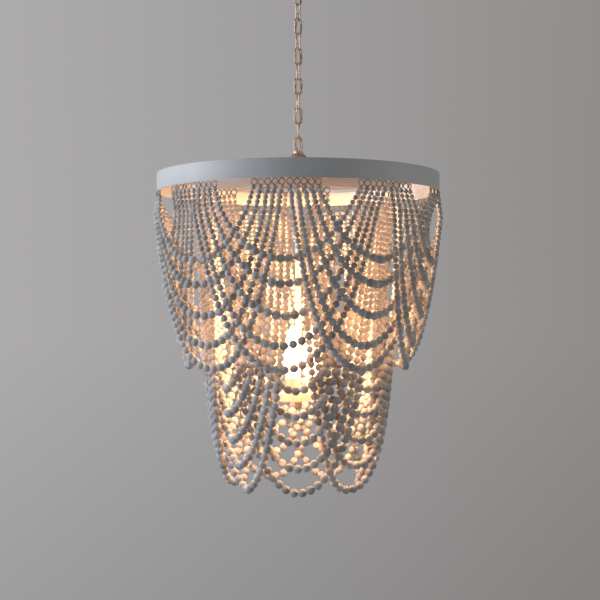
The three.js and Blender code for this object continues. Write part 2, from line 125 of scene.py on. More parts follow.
# A grid of points (rows, columns, xyz) becomes quads. Each row closes on itself, and the last row
# either joins the first one or both get flat lids. The first point has the number "start".
def gridFaces(rows, columns, closeRows=False, lids=False, start=0):
    row = np.arange(rows if closeRows else rows - 1)[:, None]
    column = np.arange(columns)[None, :]
    nextRow = (row + 1) % rows
    nextColumn = (column + 1) % columns
    quads = np.stack([row * columns + column, row * columns + nextColumn,
                      nextRow * columns + nextColumn, nextRow * columns + column], axis=-1)
    faces = (quads.reshape(-1, 4) + start).tolist()
    if lids:
        rim = np.arange(columns) + start
        faces += [rim[::-1].tolist(), (rim + (rows - 1) * columns).tolist()]
    return faces


# One object from points in metres, shaded smooth but for edges sharper than the angle.
def meshPiece(name, points, faces, materials, sharpDegrees=40):
    mesh = bpy.data.meshes.new(name)
    mesh.from_pydata(np.asarray(points).reshape(-1, 3).tolist(), [], faces)
    for material in materials:
        mesh.materials.append(material)
    mesh.shade_smooth()
    mesh.set_sharp_from_angle(angle=math.radians(sharpDegrees))
    piece = bpy.data.objects.new(name, mesh)
    bpy.context.collection.objects.link(piece)
    return piece


# Corners of an outline turn into arcs: each arc is a quadratic curve that leaves the corner by
# "size" along both sides, or by a share of the shorter side where that is less.
def softened(outline, size, steps=3, mostOfSide=0.4):
    points = np.asarray(outline, float)
    before = np.roll(points, 1, axis=0) - points
    after = np.roll(points, -1, axis=0) - points
    lengthBefore = np.linalg.norm(before, axis=1, keepdims=True)
    lengthAfter = np.linalg.norm(after, axis=1, keepdims=True)
    reach = np.minimum(size, mostOfSide * np.minimum(lengthBefore, lengthAfter))
    start = points + before / lengthBefore * reach
    end = points + after / lengthAfter * reach
    share = np.linspace(0, 1, steps)[None, :, None]
    curve = (start[:, None] * (1 - share) ** 2 + points[:, None] * 2 * share * (1 - share)
             + end[:, None] * share ** 2)
    return curve.reshape(-1, 2)


# Points of (radius, height) turn about the upright axis: x = radius * cos(angle),
# y = radius * sin(angle), z = height.
def turnedPoints(profile, segments):
    radius, height = np.asarray(profile, float).T[:, :, None]
    angle = np.arange(segments) * turn / segments
    return np.stack([radius * np.cos(angle), radius * np.sin(angle), height + 0 * angle], axis=-1)


# A closed outline of (radius, height) in mm, with its corners softened, turned about a plan point.
def turnedPiece(name, outline, material, around=(0, 0), segments=96, soften=0.5, sharpDegrees=40):
    profile = softened(outline, soften) if soften else outline
    points = turnedPoints(profile, segments) + [*around, 0]
    faces = gridFaces(len(profile), segments, closeRows=True)
    return meshPiece(name, points * mm, faces, [material], sharpDegrees)


# A round section follows a path: each ring lies in the plane of "first" and of the cross product of
# the path's direction and "first", and its points are path + radius * (cos * first + sin * second).
def tubePoints(path, radius, sides, first=(0, 1, 0), closed=False):
    step = np.roll(path, -1, axis=0) - np.roll(path, 1, axis=0) if closed else np.gradient(path, axis=0)
    ahead = unit(step)
    first = unit(first - (first * ahead).sum(1, keepdims=True) * ahead)[:, None]
    second = np.cross(ahead, first[:, 0])[:, None]
    angle = (np.arange(sides) * turn / sides)[:, None]
    return path[:, None] + radius * (np.cos(angle) * first + np.sin(angle) * second)


# A finished piece moves with its body and stands for the nodes that it replaces.
def dressed(piece, body, slot, *nodes):
    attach(piece, body)
    if nodes:
        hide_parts(*nodes)


# Materials

def linearColour(hexCode):
    parts = np.array([int(hexCode[i:i + 2], 16) / 255 for i in (1, 3, 5)])
    linear = np.where(parts <= 0.04045, parts / 12.92, ((parts + 0.055) / 1.055) ** 2.4)
    return (*linear.tolist(), 1.0)


# One node with its settings, the colour stops of a ramp, and what feeds its sockets: a value, or
# another node's output. A socket goes by its label, with _ for a space, or by its number, as i0.
def addNode(tree, kind, settings=None, stops=(), **sockets):
    node = tree.nodes.new(kind)
    for key, value in (settings or {}).items():
        setattr(node, key, value)
    for index, (place, hexCode) in enumerate(stops):
        elements = node.color_ramp.elements
        element = elements[index] if index < len(elements) else elements.new(place)
        element.position = place
        element.color = linearColour(hexCode)
    for key, value in sockets.items():
        byNumber = key[0] == "i" and key[1:].isdigit()
        socket = node.inputs[int(key[1:]) if byNumber else key.replace("_", " ")]
        if isinstance(value, bpy.types.NodeSocket):
            tree.links.new(value, socket)
        else:
            socket.default_value = value
    return node


def newMaterial(name, **values):
    material = bpy.data.materials.new(name)
    material.use_nodes = True
    tree = material.node_tree
    tree.nodes.clear()
    shader = addNode(tree, "ShaderNodeBsdfPrincipled", **values)
    addNode(tree, "ShaderNodeOutputMaterial", Surface=shader.outputs["BSDF"])
    return material, tree, shader


# Soft clouds whose grain has a size in mm, on the piece's own coordinates unless a place is given.
def clouds(tree, size, detail=3.0, place=None):
    if place is None:
        place = addNode(tree, "ShaderNodeTexCoord").outputs["Object"]
    pattern = addNode(tree, "ShaderNodeTexNoise", Vector=place, Scale=1 / (size * mm), Detail=detail,
                      Roughness=0.55)
    return pattern.outputs["Fac"]


# The material's colour drifts between two tones with the clouds, most of which lie from 0.3 to 0.7.
def tinted(tree, shader, pattern, dark, light):
    colour = addNode(tree, "ShaderNodeValToRGB", stops=((0.3, dark), (0.7, light)), Fac=pattern)
    tree.links.new(colour.outputs["Color"], shader.inputs["Base Color"])


# The surface rises and falls by a depth in mm with clouds of a size in mm.
def uneven(tree, shader, size, depth, strength=0.6, detail=3.0, place=None):
    relief = addNode(tree, "ShaderNodeBump", Height=clouds(tree, size, detail, place),
                     Distance=depth * mm, Strength=strength)
    tree.links.new(relief.outputs["Normal"], shader.inputs["Normal"])


# Turned softwood beads under a thin grey wash: the wash is matte and chalky, and darker where it has
# sunk into the grain, which runs along each bead's own axis.
def greyWashedWood():
    material, tree, shader = newMaterial("greyWashedWood", Roughness=0.78, Specular_IOR_Level=0.3)
    place = addNode(tree, "ShaderNodeAttribute", {"attribute_name": "grainPlace"}).outputs["Vector"]
    tone = addNode(tree, "ShaderNodeAttribute", {"attribute_name": "washTone"}).outputs["Fac"]
    grain = clouds(tree, 2.6, 4.0, place)                      # growth rings, stretched along the axis
    shade = addNode(tree, "ShaderNodeMix", Factor=0.35, A=grain, B=tone).outputs["Result"]
    colour = addNode(tree, "ShaderNodeValToRGB", Fac=shade,
                     stops=((0.28, "#868B8F"), (0.5, "#9B9FA2"), (0.72, "#B0B3B4")))
    tree.links.new(colour.outputs["Color"], shader.inputs["Base Color"])
    uneven(tree, shader, 0.8, 0.25, detail=2.0, place=place)   # pores, drawn coarser than they are
    return material


# Sheet steel with a sprayed matte coat: faint orange peel and hardly any gloss.
def powderCoat():
    material, tree, shader = newMaterial("greyPowderCoat", Roughness=0.55)
    tinted(tree, shader, clouds(tree, 60), "#A5A8AB", "#ADB0B2")         # thicker and thinner coat
    uneven(tree, shader, 1.4, 0.12, 0.35, detail=2.0)                    # orange peel
    return material


# Steel with a satin nickel plate: warm grey, brushed softly, so its highlights are wide.
def satinNickel():
    material, tree, shader = newMaterial("satinNickel", Metallic=0.9)
    rub = clouds(tree, 4, 4.0)                                 # where hands have rubbed the plate
    tinted(tree, shader, rub, "#A39280", "#BBA995")
    rough = addNode(tree, "ShaderNodeMapRange", Value=rub, To_Min=0.4, To_Max=0.52)
    tree.links.new(rough.outputs["Result"], shader.inputs["Roughness"])
    uneven(tree, shader, 0.7, 0.03, 0.4)                       # brush marks, drawn coarser than they are
    return material


# Drawn steel wire, oxidised to a soft grey that changes from ring to ring.
def greyWire():
    material, tree, shader = newMaterial("greySteelWire", Metallic=0.6, Roughness=0.42)
    tinted(tree, shader, clouds(tree, 9), "#6F6A66", "#8E8882")
    return material


# Waxed cotton twine: off-white, greyed by the beads' wash. Its fibres are drawn coarser than they are.
def waxedTwine():
    material, tree, shader = newMaterial("waxedTwine", Roughness=0.85)
    tinted(tree, shader, clouds(tree, 0.9), "#8A8378", "#B1A99C")
    return material


# Stove enamel on pressed steel, satin white, a little yellowed by heat.
def whiteEnamel():
    material, tree, shader = newMaterial("whiteStoveEnamel", Roughness=0.38)
    tinted(tree, shader, clouds(tree, 18), "#C9BBAE", "#D7CABE")
    uneven(tree, shader, 2.2, 0.05, 0.3)                       # soft waves of the fired coat
    return material


# Moulded urea resin of a lamp socket: dull ivory, a little cloudy.
def ivoryResin():
    material, tree, shader = newMaterial("ivoryUreaResin", Roughness=0.6)
    tinted(tree, shader, clouds(tree, 6), "#CFC8B8", "#DDD6C8")
    return material


# Rolled brass of a bulb's screw cap: bright, with duller spots.
def rolledBrass():
    material, tree, shader = newMaterial("rolledBrass", Metallic=1.0, Roughness=0.34)
    tinted(tree, shader, clouds(tree, 5), "#A88A4C", "#C6A765")
    return material


# A lit candle bulb: clear blown glass that glares so much that its wall looks like a warm white body.
def litGlass():
    material, tree, shader = newMaterial("litClearGlass", Roughness=0.08, Transmission_Weight=0.6,
                                         Emission_Color=linearColour("#FFE4BE"), Emission_Strength=3.0)
    tinted(tree, shader, clouds(tree, 12), "#FFEFD2", "#FFF6E4")
    material.cycles.emission_sampling = "NONE"
    return material


# A glowing tungsten coil, whose windings are drawn coarser than they are.
def hotTungsten():
    material, tree, shader = newMaterial("hotTungsten", Base_Color=linearColour("#FFD9A0"),
                                         Emission_Color=linearColour("#FFC878"), Emission_Strength=14.0,
                                         Roughness=0.5)
    uneven(tree, shader, 0.8, 0.05)
    material.cycles.emission_sampling = "NONE"
    return material


# Clear soft vinyl over a stranded copper core: a warm grey with the core's brown in it.
def softVinyl(name, dark, light):
    material, tree, shader = newMaterial(name, Roughness=0.4, Coat_Weight=0.3)
    tinted(tree, shader, clouds(tree, 3), dark, light)
    return material


beadWood = greyWashedWood()
bandPaint = powderCoat()
nickel = satinNickel()
ringWire = greyWire()
twine = waxedTwine()
enamel = whiteEnamel()
resin = ivoryResin()
brass = rolledBrass()
glass = litGlass()
tungsten = hotTungsten()
supplyVinyl = softVinyl("clearVinylCord", "#9A9792", "#B4B1AC")
earthVinyl = softVinyl("brownVinylWire", "#77716C", "#928D88")
print("materials made")


# Beaded strings, from the same formulas as the solids, in mm and radians

ringSet = {
    "outerRadius": 5.9,
    "wire": 1.8,
    "pitch": 11.2,                # from ring to ring along the hoop
    "seat": 6.0,                  # middle to corner of the solids' six-sided rings
    "seatGap": 0.3,               # the rings stop this far under the hoop
    "perHalf": 5,                 # rings on each half of a swag, one for each string
    "lean": 9 * degree,           # neighbours turn to either side, by chance from 0 to twice this
    "around": 14,
    "section": 6,
}
beadSet = {
    "fullness": 0.985,            # of the room that the row gives a bead
    "grading": 1.25,              # power with which the beads grow away from the ring
    "sizeSpread": 0.02,
    "wander": 0.2,                # off the string's line
    "tilt": 0.12,                 # of the axis off the string, as a slope
    "holeShare": 0.2,             # radius of the drilled hole's rim, as a share of the bead's
    "holeMouth": 0.5,             # radius of the dip in it, as a share of the rim's
    "holeDip": 0.86,              # height of the dip, as a share of the rim's
    "grainShrink": 0.22,          # along the axis, so that the grain is 4.5 times as long as wide
    "grainRoom": 400,             # each bead is cut from its own place in the wood
    "around": 10,
    "along": 6,
    "pathSteps": 801,
    "crowding": 1.25,             # over 1, the steps crowd towards the middle
}
twineSet = {"radius": 0.55, "sides": 5, "everyStep": 16}
outerTier = {
    "name": "outer_swag", "hoop": "outer_band", "groups": 9, "seed": 1100,
    "firstAngle": -4.45 * degree,
    "ringCircle": 249,
    "sags": [115.6, 155.6, 206.6, 255.6, 294.6],               # from the shortest string to the longest
    "leans": [-1.2, -1.4, -1.2, -3.4, -3.0],                   # degrees that a middle is off the swag's
    "crossings": [3.3, 5.6, 10, 15, 15],                       # degrees in which a string changes layer
    "taper": 55, "straightShare": 0.65, "taperPower": 3,       # the surface that narrows downwards
    "frontSide": -1, "layerOffset": 7.7, "layerRun": 40,
    "smallBead": 4, "largeBead": 7.5, "grownBy": 0.92,         # radii, and where they are full
}
lowerTier = {
    "name": "lower_swag", "hoop": "inner_hoop", "groups": 7, "seed": 2300,
    "firstAngle": -1 * degree,
    "ringCircle": 180,
    "sags": [324.6, 367.6, 412.6, 456.6, 499.6],
    "leans": [-1, -1.4, -0.8, 0, 0],
    "crossings": [7.5, 9, 11, 14, 16],
    "taper": 68, "straightShare": 0.62, "taperPower": 8,
    "frontSide": 1, "layerOffset": 7.5, "layerRun": 80,
    "smallBead": 4, "largeBead": 7.6, "grownBy": 0.72,
}
swagFinishes = [beadWood, ringWire, twine]


# The steepness k of a hanging curve, from (cosh k - 1) / k = sag over half the span: each round halves
# the range that holds it.
def steepnessFor(ratio, low=0.01, high=10.0, rounds=50):
    for _ in range(rounds):
        guess = (low + high) / 2
        if (math.cosh(guess) - 1) / guess < ratio:
            low = guess
        else:
            high = guess
    return low


# A string's middle line at t from -1 to 1. Its plan angle is that of the point t * halfChord on the
# chord between its rings, its drop is sag * (cosh k - cosh kt) / (cosh k - 1), and its radius follows
# the tier's tapering surface, a layer outside or inside it.
def stringLine(tier, string, t):
    spacing = turn / tier["groups"]
    offset = ringSet["seat"] + ringSet["seatGap"] + (ringSet["perHalf"] - 1 - string) * ringSet["pitch"]
    halfSpan = spacing - offset / tier["ringCircle"]
    halfChord = tier["ringCircle"] * math.sin(halfSpan)
    chordDistance = tier["ringCircle"] * math.cos(halfSpan)
    sag = tier["sags"][string]
    k = steepnessFor(sag / halfChord)
    footShare = chordDistance * math.tan(tier["crossings"][string] * degree) / halfChord
    angle = np.arctan2(halfChord * t, chordDistance) + tier["leans"][string] * degree * (1 - t * t)
    drop = sag * (math.cosh(k) - np.cosh(k * t)) / (math.cosh(k) - 1)
    share = drop / tier["sags"][-1]
    across = np.clip(t / footShare, -1, 1)
    across = across * (1.5 - 0.5 * across * across)            # -1 to 1, level at both ends
    run = eased(np.clip(drop / tier["layerRun"], 0, 1))
    layer = across * tier["frontSide"] * tier["layerOffset"] * run
    narrowing = tier["straightShare"] * share + (1 - tier["straightShare"]) * share ** tier["taperPower"]
    radius = tier["ringCircle"] - tier["taper"] * narrowing + layer
    fromRing = np.maximum(1 - np.abs(np.sinh(k * t)) / math.sinh(k), 0)
    grown = np.minimum(fromRing / tier["grownBy"], 1) ** beadSet["grading"]
    bead = tier["smallBead"] + (tier["largeBead"] - tier["smallBead"]) * grown
    return angle, drop, radius, bead


def planPoint(angle, radius, height):
    return np.stack([radius * np.sin(angle), -radius * np.cos(angle), height], axis=-1)


# Bead centres lie where the running sum of (path length / bead pitch) passes half numbers. A bead's
# axis runs between the points half a bead before and after.
def beadRow(path, pitch):
    step = np.linalg.norm(np.diff(path, axis=0), axis=1)
    middlePitch = (pitch[1:] + pitch[:-1]) / 2
    count = np.concatenate([[0], np.cumsum(step / middlePitch)])
    beads = int(round(count[-1]))
    at = (np.arange(beads) + 0.5) * count[-1] / beads

    def pathAt(place):
        return np.stack([np.interp(place, count, path[:, i]) for i in range(3)], axis=-1)

    return pathAt(at), unit(pathAt(at + 0.5) - pathAt(at - 0.5)), np.interp(at, count, pitch)


# A drilled ball about its own axis: with v from 0 to pi, its radius is sin v and its height cos v,
# but for the poles, which stop at the drilled hole's rim and dip inwards.
def drilledBall():
    rim = math.asin(beadSet["holeShare"])
    v = np.linspace(rim, math.pi - rim, beadSet["along"])
    dipRadius = beadSet["holeShare"] * beadSet["holeMouth"]
    dipHeight = math.cos(rim) * beadSet["holeDip"]
    radius = np.concatenate([[dipRadius], np.sin(v), [dipRadius]])
    height = np.concatenate([[dipHeight], np.cos(v), [-dipHeight]])
    points = turnedPoints(np.stack([radius, height], axis=-1), beadSet["around"])
    faces = [face[::-1] for face in gridFaces(len(radius), beadSet["around"], lids=True)]
    return points.reshape(-1, 3), (np.array(faces[:-2]), np.array(faces[-2:]))


ballPoints, ballFaces = drilledBall()


# Copies of the ball at the centres: each is turned so that its axis lies along the string, with a
# chance spin about it, and takes its own size, tone and place in the wood.
def placeBeads(centres, ahead, pitch, chance):
    count = len(centres)
    size = pitch / 2 * beadSet["fullness"] * (1 + beadSet["sizeSpread"] * chance.uniform(-1, 1, count))
    centres = centres + beadSet["wander"] * chance.uniform(-1, 1, (count, 3))
    ahead = unit(ahead + beadSet["tilt"] * chance.uniform(-1, 1, (count, 3)))
    first = unit(np.cross(ahead, chance.uniform(-1, 1, (count, 3))))
    second = np.cross(ahead, first)
    local = ballPoints[None] * size[:, None, None]
    points = (centres[:, None] + local[..., :1] * first[:, None] + local[..., 1:2] * second[:, None]
              + local[..., 2:] * ahead[:, None])
    room = beadSet["grainRoom"]
    grain = local * [1.0, 1.0, beadSet["grainShrink"]] + chance.uniform(-room, room, (count, 1, 3))
    tone = np.repeat(chance.uniform(0, 1, count), len(ballPoints))
    return points.reshape(-1, 3), grain.reshape(-1, 3), tone


# A wire ring that hangs at a plan angle: its middle line is centre + reach * (cos * flat + sin * up),
# where "flat" points along the hoop, turned by the lean.
def wireRing(angle, circle, height, lean):
    around = (np.arange(ringSet["around"]) * turn / ringSet["around"])[:, None]
    flat = np.array([math.cos(angle - lean), math.sin(angle - lean), 0.0])
    radial = np.cos(around) * flat + np.sin(around) * np.array([0, 0, 1.0])
    path = planPoint(angle, circle, height) + (ringSet["outerRadius"] - ringSet["wire"] / 2) * radial
    return tubePoints(path, ringSet["wire"] / 2, ringSet["section"], radial, closed=True)


def addBlock(store, finish, points, faces, grain=0.0, tone=0.5):
    points = points.reshape(-1, 3)
    offset = store["count"]
    store["points"].append(points)
    store["faces"].extend([[corner + offset for corner in face] for face in faces])
    store["slots"].extend([swagFinishes.index(finish)] * len(faces))
    store["grain"].append(np.broadcast_to(grain, points.shape))
    store["tone"].append(np.broadcast_to(tone, len(points)))
    store["count"] += len(points)


# One swag: its strings of beads on twine, and a wire ring at both ends of each.
def beadedSwag(tier, group):
    centreAngle = tier["firstAngle"] + turn * group / tier["groups"]
    ringHeight = lowOf(tier["hoop"]) - ringSet["seatGap"] - ringSet["seat"] * math.sin(math.pi / 3)
    stringTop = ringHeight - (ringSet["outerRadius"] - ringSet["wire"] / 2)
    chance = np.random.default_rng(tier["seed"] + group)
    store = {"points": [], "faces": [], "slots": [], "grain": [], "tone": [], "count": 0}
    even = np.linspace(-1, 1, beadSet["pathSteps"])
    t = np.sign(even) * np.abs(even) ** beadSet["crowding"]
    ringFaces = gridFaces(ringSet["around"], ringSet["section"], closeRows=True)
    for string in range(ringSet["perHalf"]):
        angle, drop, radius, bead = stringLine(tier, string, t)
        path = planPoint(angle + centreAngle, radius, stringTop - drop)
        centres, ahead, pitch = beadRow(path, 2 * bead)
        points, grain, tone = placeBeads(centres, ahead, pitch, chance)
        starts = np.arange(len(centres))[:, None, None] * len(ballPoints)
        faces = []
        for kind in ballFaces:
            faces += (kind + starts).reshape(-1, kind.shape[1]).tolist()
        addBlock(store, beadWood, points, faces, grain, tone)
        thread = path[::twineSet["everyStep"]]
        outward = planPoint(centreAngle, 1.0, 0.0)
        tube = tubePoints(thread, twineSet["radius"], twineSet["sides"], outward)
        addBlock(store, twine, tube, gridFaces(len(thread), twineSet["sides"], lids=True))
        side = 1 if string % 2 else -1
        for end in (0, -1):
            lean = ringSet["lean"] * chance.uniform(-1, 1) + side * ringSet["lean"]
            ring = wireRing(angle[end] + centreAngle, tier["ringCircle"], ringHeight, lean)
            addBlock(store, ringWire, ring, ringFaces)
    name = f"{tier['name']}_{group + 1}"
    points = np.concatenate(store["points"]) * mm
    piece = meshPiece(f"beads_{name}", points, store["faces"], swagFinishes, sharpDegrees=70)
    piece.data.polygons.foreach_set("material_index", np.array(store["slots"], np.int32))
    grain = piece.data.attributes.new("grainPlace", "FLOAT_VECTOR", "POINT")
    grain.data.foreach_set("vector", (np.concatenate(store["grain"]) * mm).astype(np.float32).ravel())
    tone = piece.data.attributes.new("washTone", "FLOAT", "POINT")
    tone.data.foreach_set("value", np.concatenate(store["tone"]).astype(np.float32))
    dressed(piece, "fixture", "washed_wood", name)


for tier in (outerTier, lowerTier):
    for group in range(tier["groups"]):
        beadedSwag(tier, group)
    print(tier["name"], "strung")


# Chain and loops

chainSet = {
    "count": 11,
    "width": 16,
    "wire": 2.6,
    "twist": 94 * degree,         # from each link to the next
    "hangGap": 0.3,               # between two wires that hang in one another
    "around": 40,
    "section": 12,
}


# A stadium loop in the XZ plane, walked by length s: over the top, down, under the foot and up. Its
# half circles are x = bend * cos(s / bend), z = bend * sin(s / bend) about their middles, and on its
# straights x stays at -bend or bend.
def stadiumPath(bend, straight, steps):
    arc = math.pi * bend
    s = np.arange(steps) * 2 * (arc + straight) / steps
    topTurn = s / bend
    footTurn = (s - straight) / bend
    runs = [s < arc, s < arc + straight, s < 2 * arc + straight]
    x = np.select(runs, [bend * np.cos(topTurn), -bend + 0 * s, bend * np.cos(footTurn)], bend)
    z = np.select(runs, [straight / 2 + bend * np.sin(topTurn), straight / 2 + arc - s,
                         -straight / 2 + bend * np.sin(footTurn)], s - 2 * arc - 1.5 * straight)
    return np.stack([x, 0 * x, z], axis=-1)


# Points turned about the upright axis: x * cos - y * sin, x * sin + y * cos.
def turnedAbout(points, angle):
    x = points[..., 0] * math.cos(angle) - points[..., 1] * math.sin(angle)
    y = points[..., 0] * math.sin(angle) + points[..., 1] * math.cos(angle)
    return np.stack([x, y, points[..., 2]], axis=-1)


def chainLink(index):
    node = f"chain_link_{index + 1:02d}"
    low, high = lowOf(node), highOf(node)
    wire = chainSet["wire"]
    bend = (chainSet["width"] - wire) / 2
    path = stadiumPath(bend, high - low - wire - 2 * bend, chainSet["around"])
    tube = tubePoints(path, wire / 2, chainSet["section"], closed=True)
    angle = (chainSet["count"] - index) * chainSet["twist"]
    points = turnedAbout(tube, angle) + [0, 0, (low + high) / 2]
    faces = gridFaces(chainSet["around"], chainSet["section"], closeRows=True)
    piece = meshPiece(f"ovalLink_{index + 1:02d}", points * mm, faces, [nickel], sharpDegrees=180)
    dressed(piece, f"link_{index + 1:02d}", "satin_nickel", node)


for index in range(chainSet["count"]):
    chainLink(index)


# A U of wire whose feet stand in a bored disc. By length s along the U, z climbs from -footSink to the
# leg's end, follows leg + bend * sin(angle) round the bend, where x = bend * cos(angle), and comes down
# again. "up" is 1 for the loop on the fixture and -1 for the one under the canopy.
def hangingLoop(name, node, body, discFace, up, angle):
    wire, sink = loopSet["wire"], loopSet["footSink"]
    bend = (loopSet["width"] - wire) / 2
    leg = loopSet["reach"] - wire / 2 - bend
    total = 2 * (leg + sink) + math.pi * bend
    s = np.linspace(0, total, loopSet["steps"])
    bendAngle = np.clip((s - leg - sink) / bend, 0, math.pi)
    x = bend * np.cos(bendAngle)
    z = np.minimum(np.minimum(s, total - s) - sink, leg) + bend * np.sin(bendAngle)
    tube = tubePoints(np.stack([x, 0 * x, z], axis=-1), wire / 2, loopSet["sides"]).reshape(-1, 3)
    bore, rim, depth = loopSet["bore"], loopSet["discRadius"], loopSet["discHeight"]
    profile = softened([(bore, -depth), (rim, -depth), (rim, 0), (bore, 0)], loopSet["edge"])
    disc = turnedPoints(profile, loopSet["segments"]).reshape(-1, 3)
    faces = gridFaces(loopSet["steps"], loopSet["sides"], lids=True)
    faces += gridFaces(len(profile), loopSet["segments"], closeRows=True, start=len(tube))
    points = turnedAbout(np.concatenate([tube, disc]) * [1, up, up], angle) + [0, 0, discFace]
    dressed(meshPiece(name, points * mm, faces, [nickel]), body, "satin_nickel", node)


hangingLoop("fixtureLoop", "fixture_loop", "fixture", discTop, 1, 0)
hangingLoop("canopyLoop", "canopy_loop", "ceiling", lowOf("canopy_loop") + loopSet["reach"], -1,
            (chainSet["count"] + 1) * chainSet["twist"])
print("chain linked")


# Two cords wound through the chain, each in pieces that run over one joint

cordSet = {
    "radius": 1.1,
    "wind": 4.05,                 # from the chain's middle line to a cord's
    "entry": 1.5,                 # the same at the cord's ends
    "tail": 3,                    # the length at each end that stays at the entry
    "bendReach": 5.5,             # a length above and below a piece's joint
    "sides": 12,
    "steps": 14,
}


# The cord's plan angle grows by the chain's twist from one crossing of wires to the next, its radius
# opens smoothly from the entry to the wind radius, and its height falls evenly.
def cordPoint(z, number, top, foot, lowestCrossing, linkDrop):
    angle = ((z - lowestCrossing) / linkDrop + 0.5) * chainSet["twist"] + number * math.pi
    fromEnd = np.minimum(top - z, z - foot)
    opening = eased(np.clip((fromEnd - cordSet["tail"]) / (loopSet["reach"] / 2), 0, 1))
    radius = cordSet["entry"] + (cordSet["wind"] - cordSet["entry"]) * opening
    outward = np.stack([np.cos(angle), np.sin(angle), 0 * z], axis=-1)
    return outward * radius[:, None] + np.array([0, 0, 1.0]) * z[:, None], outward


# Each piece runs from the middle of one link to that of the next, over the joint between them.
def woundCord(name, node, material, number):
    top, foot = highOf(node), lowOf(node)
    numbers = range(1, chainSet["count"] + 1)
    links = [f"chain_link_{i:02d}" for i in numbers]
    cuts = [top] + [(lowOf(link) + highOf(link)) / 2 for link in links] + [foot]
    joints = [lowOf("canopy_loop") + loopSet["wire"] / 2]
    joints += [lowOf(link) + chainSet["wire"] / 2 for link in links]
    linkDrop = lowOf(links[0]) - lowOf(links[1])
    wireToWire = (loopSet["wire"] + chainSet["wire"]) / 2 + chainSet["hangGap"]
    lowestCrossing = joints[-1] + wireToWire / 2
    for part, joint in enumerate(joints):
        z = np.linspace(cuts[part], cuts[part + 1], cordSet["steps"])
        path, outward = cordPoint(z, number, top, foot, lowestCrossing, linkDrop)
        points = tubePoints(path, cordSet["radius"], cordSet["sides"], outward)
        faces = gridFaces(cordSet["steps"], cordSet["sides"], lids=True)
        piece = meshPiece(f"{name}_{part + 1:02d}", points * mm, faces, [material], sharpDegrees=60)
        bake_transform(piece)
        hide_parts(node)


woundCord("supplyCord", "supply_cord", supplyVinyl, 0)
woundCord("earthWire", "earth_wire", earthVinyl, 1)
print("cords wound")


# Sheet-metal and turned pieces, each over the node that it stands for

bandSet = {"bore": 248, "radius": 250, "segments": 192, "edge": 0.6}
hoopSet = {"bore": 179, "radius": 181, "segments": 192, "edge": 0.6}
domeSet = {
    "overFoot": [(32, 0), (32, 2.6), (29.5, 6)],               # radius, height
    "underTop": [(24, 15), (18.4, 9.5), (15.6, 5), (12, 1.6), (10, 0)],        # radius, depth
    "wall": 1.2,
    "edge": 0.8,
}
hubSet = {"radius": 15, "neck": 8, "shoulder": 30.6, "edge": 1.0}
stemSet = {"bore": 3.5, "radius": 5, "segments": 32, "edge": 0.5}


# A straight ring or tube from its node's foot to its top.
def straightTube(name, node, body, slot, material, sizes, around=(0, 0)):
    low, high = lowOf(node), highOf(node)
    bore, radius = sizes["bore"], sizes["radius"]
    outline = [(bore, low), (radius, low), (radius, high), (bore, high)]
    piece = turnedPiece(name, outline, material, around, sizes["segments"], sizes["edge"])
    dressed(piece, body, slot, node)


# A dictionary's points over the foot and under the top, as one rising line of (radius, height).
def risingLine(sizes, low, high):
    return ([(radius, low + z) for radius, z in sizes["overFoot"]]
            + [(radius, high - z) for radius, z in sizes["underTop"]])


# The bell's outside runs through the dictionary's points, and its inside is the same line, lower and
# closer to the axis by the wall.
def domeShell():
    low, top = lowOf("dome"), highOf("dome")
    bore, wall = loopSet["bore"], domeSet["wall"]
    outer = risingLine(domeSet, low, top)
    inner = [(r - wall, z - wall) for r, z in outer[:0:-1]] + [(outer[0][0] - wall, low)]
    outline = outer + [(bore, top), (bore, top - wall)] + inner
    piece = turnedPiece("domeShell", outline, nickel, soften=domeSet["edge"])
    dressed(piece, "fixture", "satin_nickel", "dome")


def hubTurning():
    low, high = lowOf("hub"), highOf("hub")
    bore, radius, neck = loopSet["bore"], hubSet["radius"], hubSet["neck"]
    shoulder = low + hubSet["shoulder"]
    outline = [(bore, low), (radius, low), (radius, shoulder), (neck, shoulder), (neck, high),
               (bore, high)]
    piece = turnedPiece("hubTurning", outline, bandPaint, soften=hubSet["edge"])
    dressed(piece, "fixture", "painted_iron", "hub")


straightTube("bandWall", "outer_band", "fixture", "painted_iron", bandPaint, bandSet)
straightTube("hoopWall", "inner_hoop", "fixture", "painted_iron", bandPaint, hoopSet)
domeShell()
hubTurning()
straightTube("stemTube", "stem", "fixture", "painted_iron", bandPaint, stemSet)

canopySet = {
    "radius": 60,
    "flat": 13,                   # radius of the flat round its hole
    "rise": 21,                   # height of the curve; above it the wall stands straight
    "firstStep": 0.06,            # of a quarter turn
    "steps": 14,
    "wall": 1.2,
    "edge": 0.6,
}
collarSet = {"bore": loopSet["bore"], "radius": 11, "segments": 96, "edge": 1.2}
nippleSet = {"bore": 3.5, "radius": 5, "segments": 32, "edge": 0.4}


# The canopy's outside, with an angle from 0 to a quarter turn: radius = flat + (radius - flat) *
# sin(angle), height = rise * (1 - cos(angle)). Its inside is higher and closer to the axis by the wall.
def canopyShell():
    low, high = lowOf("canopy"), highOf("canopy")
    bore, wall, flat = loopSet["bore"], canopySet["wall"], canopySet["flat"]
    angle = np.linspace(canopySet["firstStep"], 1, canopySet["steps"]) * math.pi / 2
    radius = flat + (canopySet["radius"] - flat) * np.sin(angle)
    height = low + canopySet["rise"] * (1 - np.cos(angle))
    outer = [(flat, low), *zip(radius.tolist(), height.tolist()), (canopySet["radius"], high)]
    inner = [(r - wall, min(z + wall, high)) for r, z in outer[::-1]]
    outline = [(bore, low)] + outer + inner + [(bore, low + wall)]
    piece = turnedPiece("canopyShell", outline, nickel, soften=canopySet["edge"])
    dressed(piece, "ceiling", "satin_nickel", "canopy")


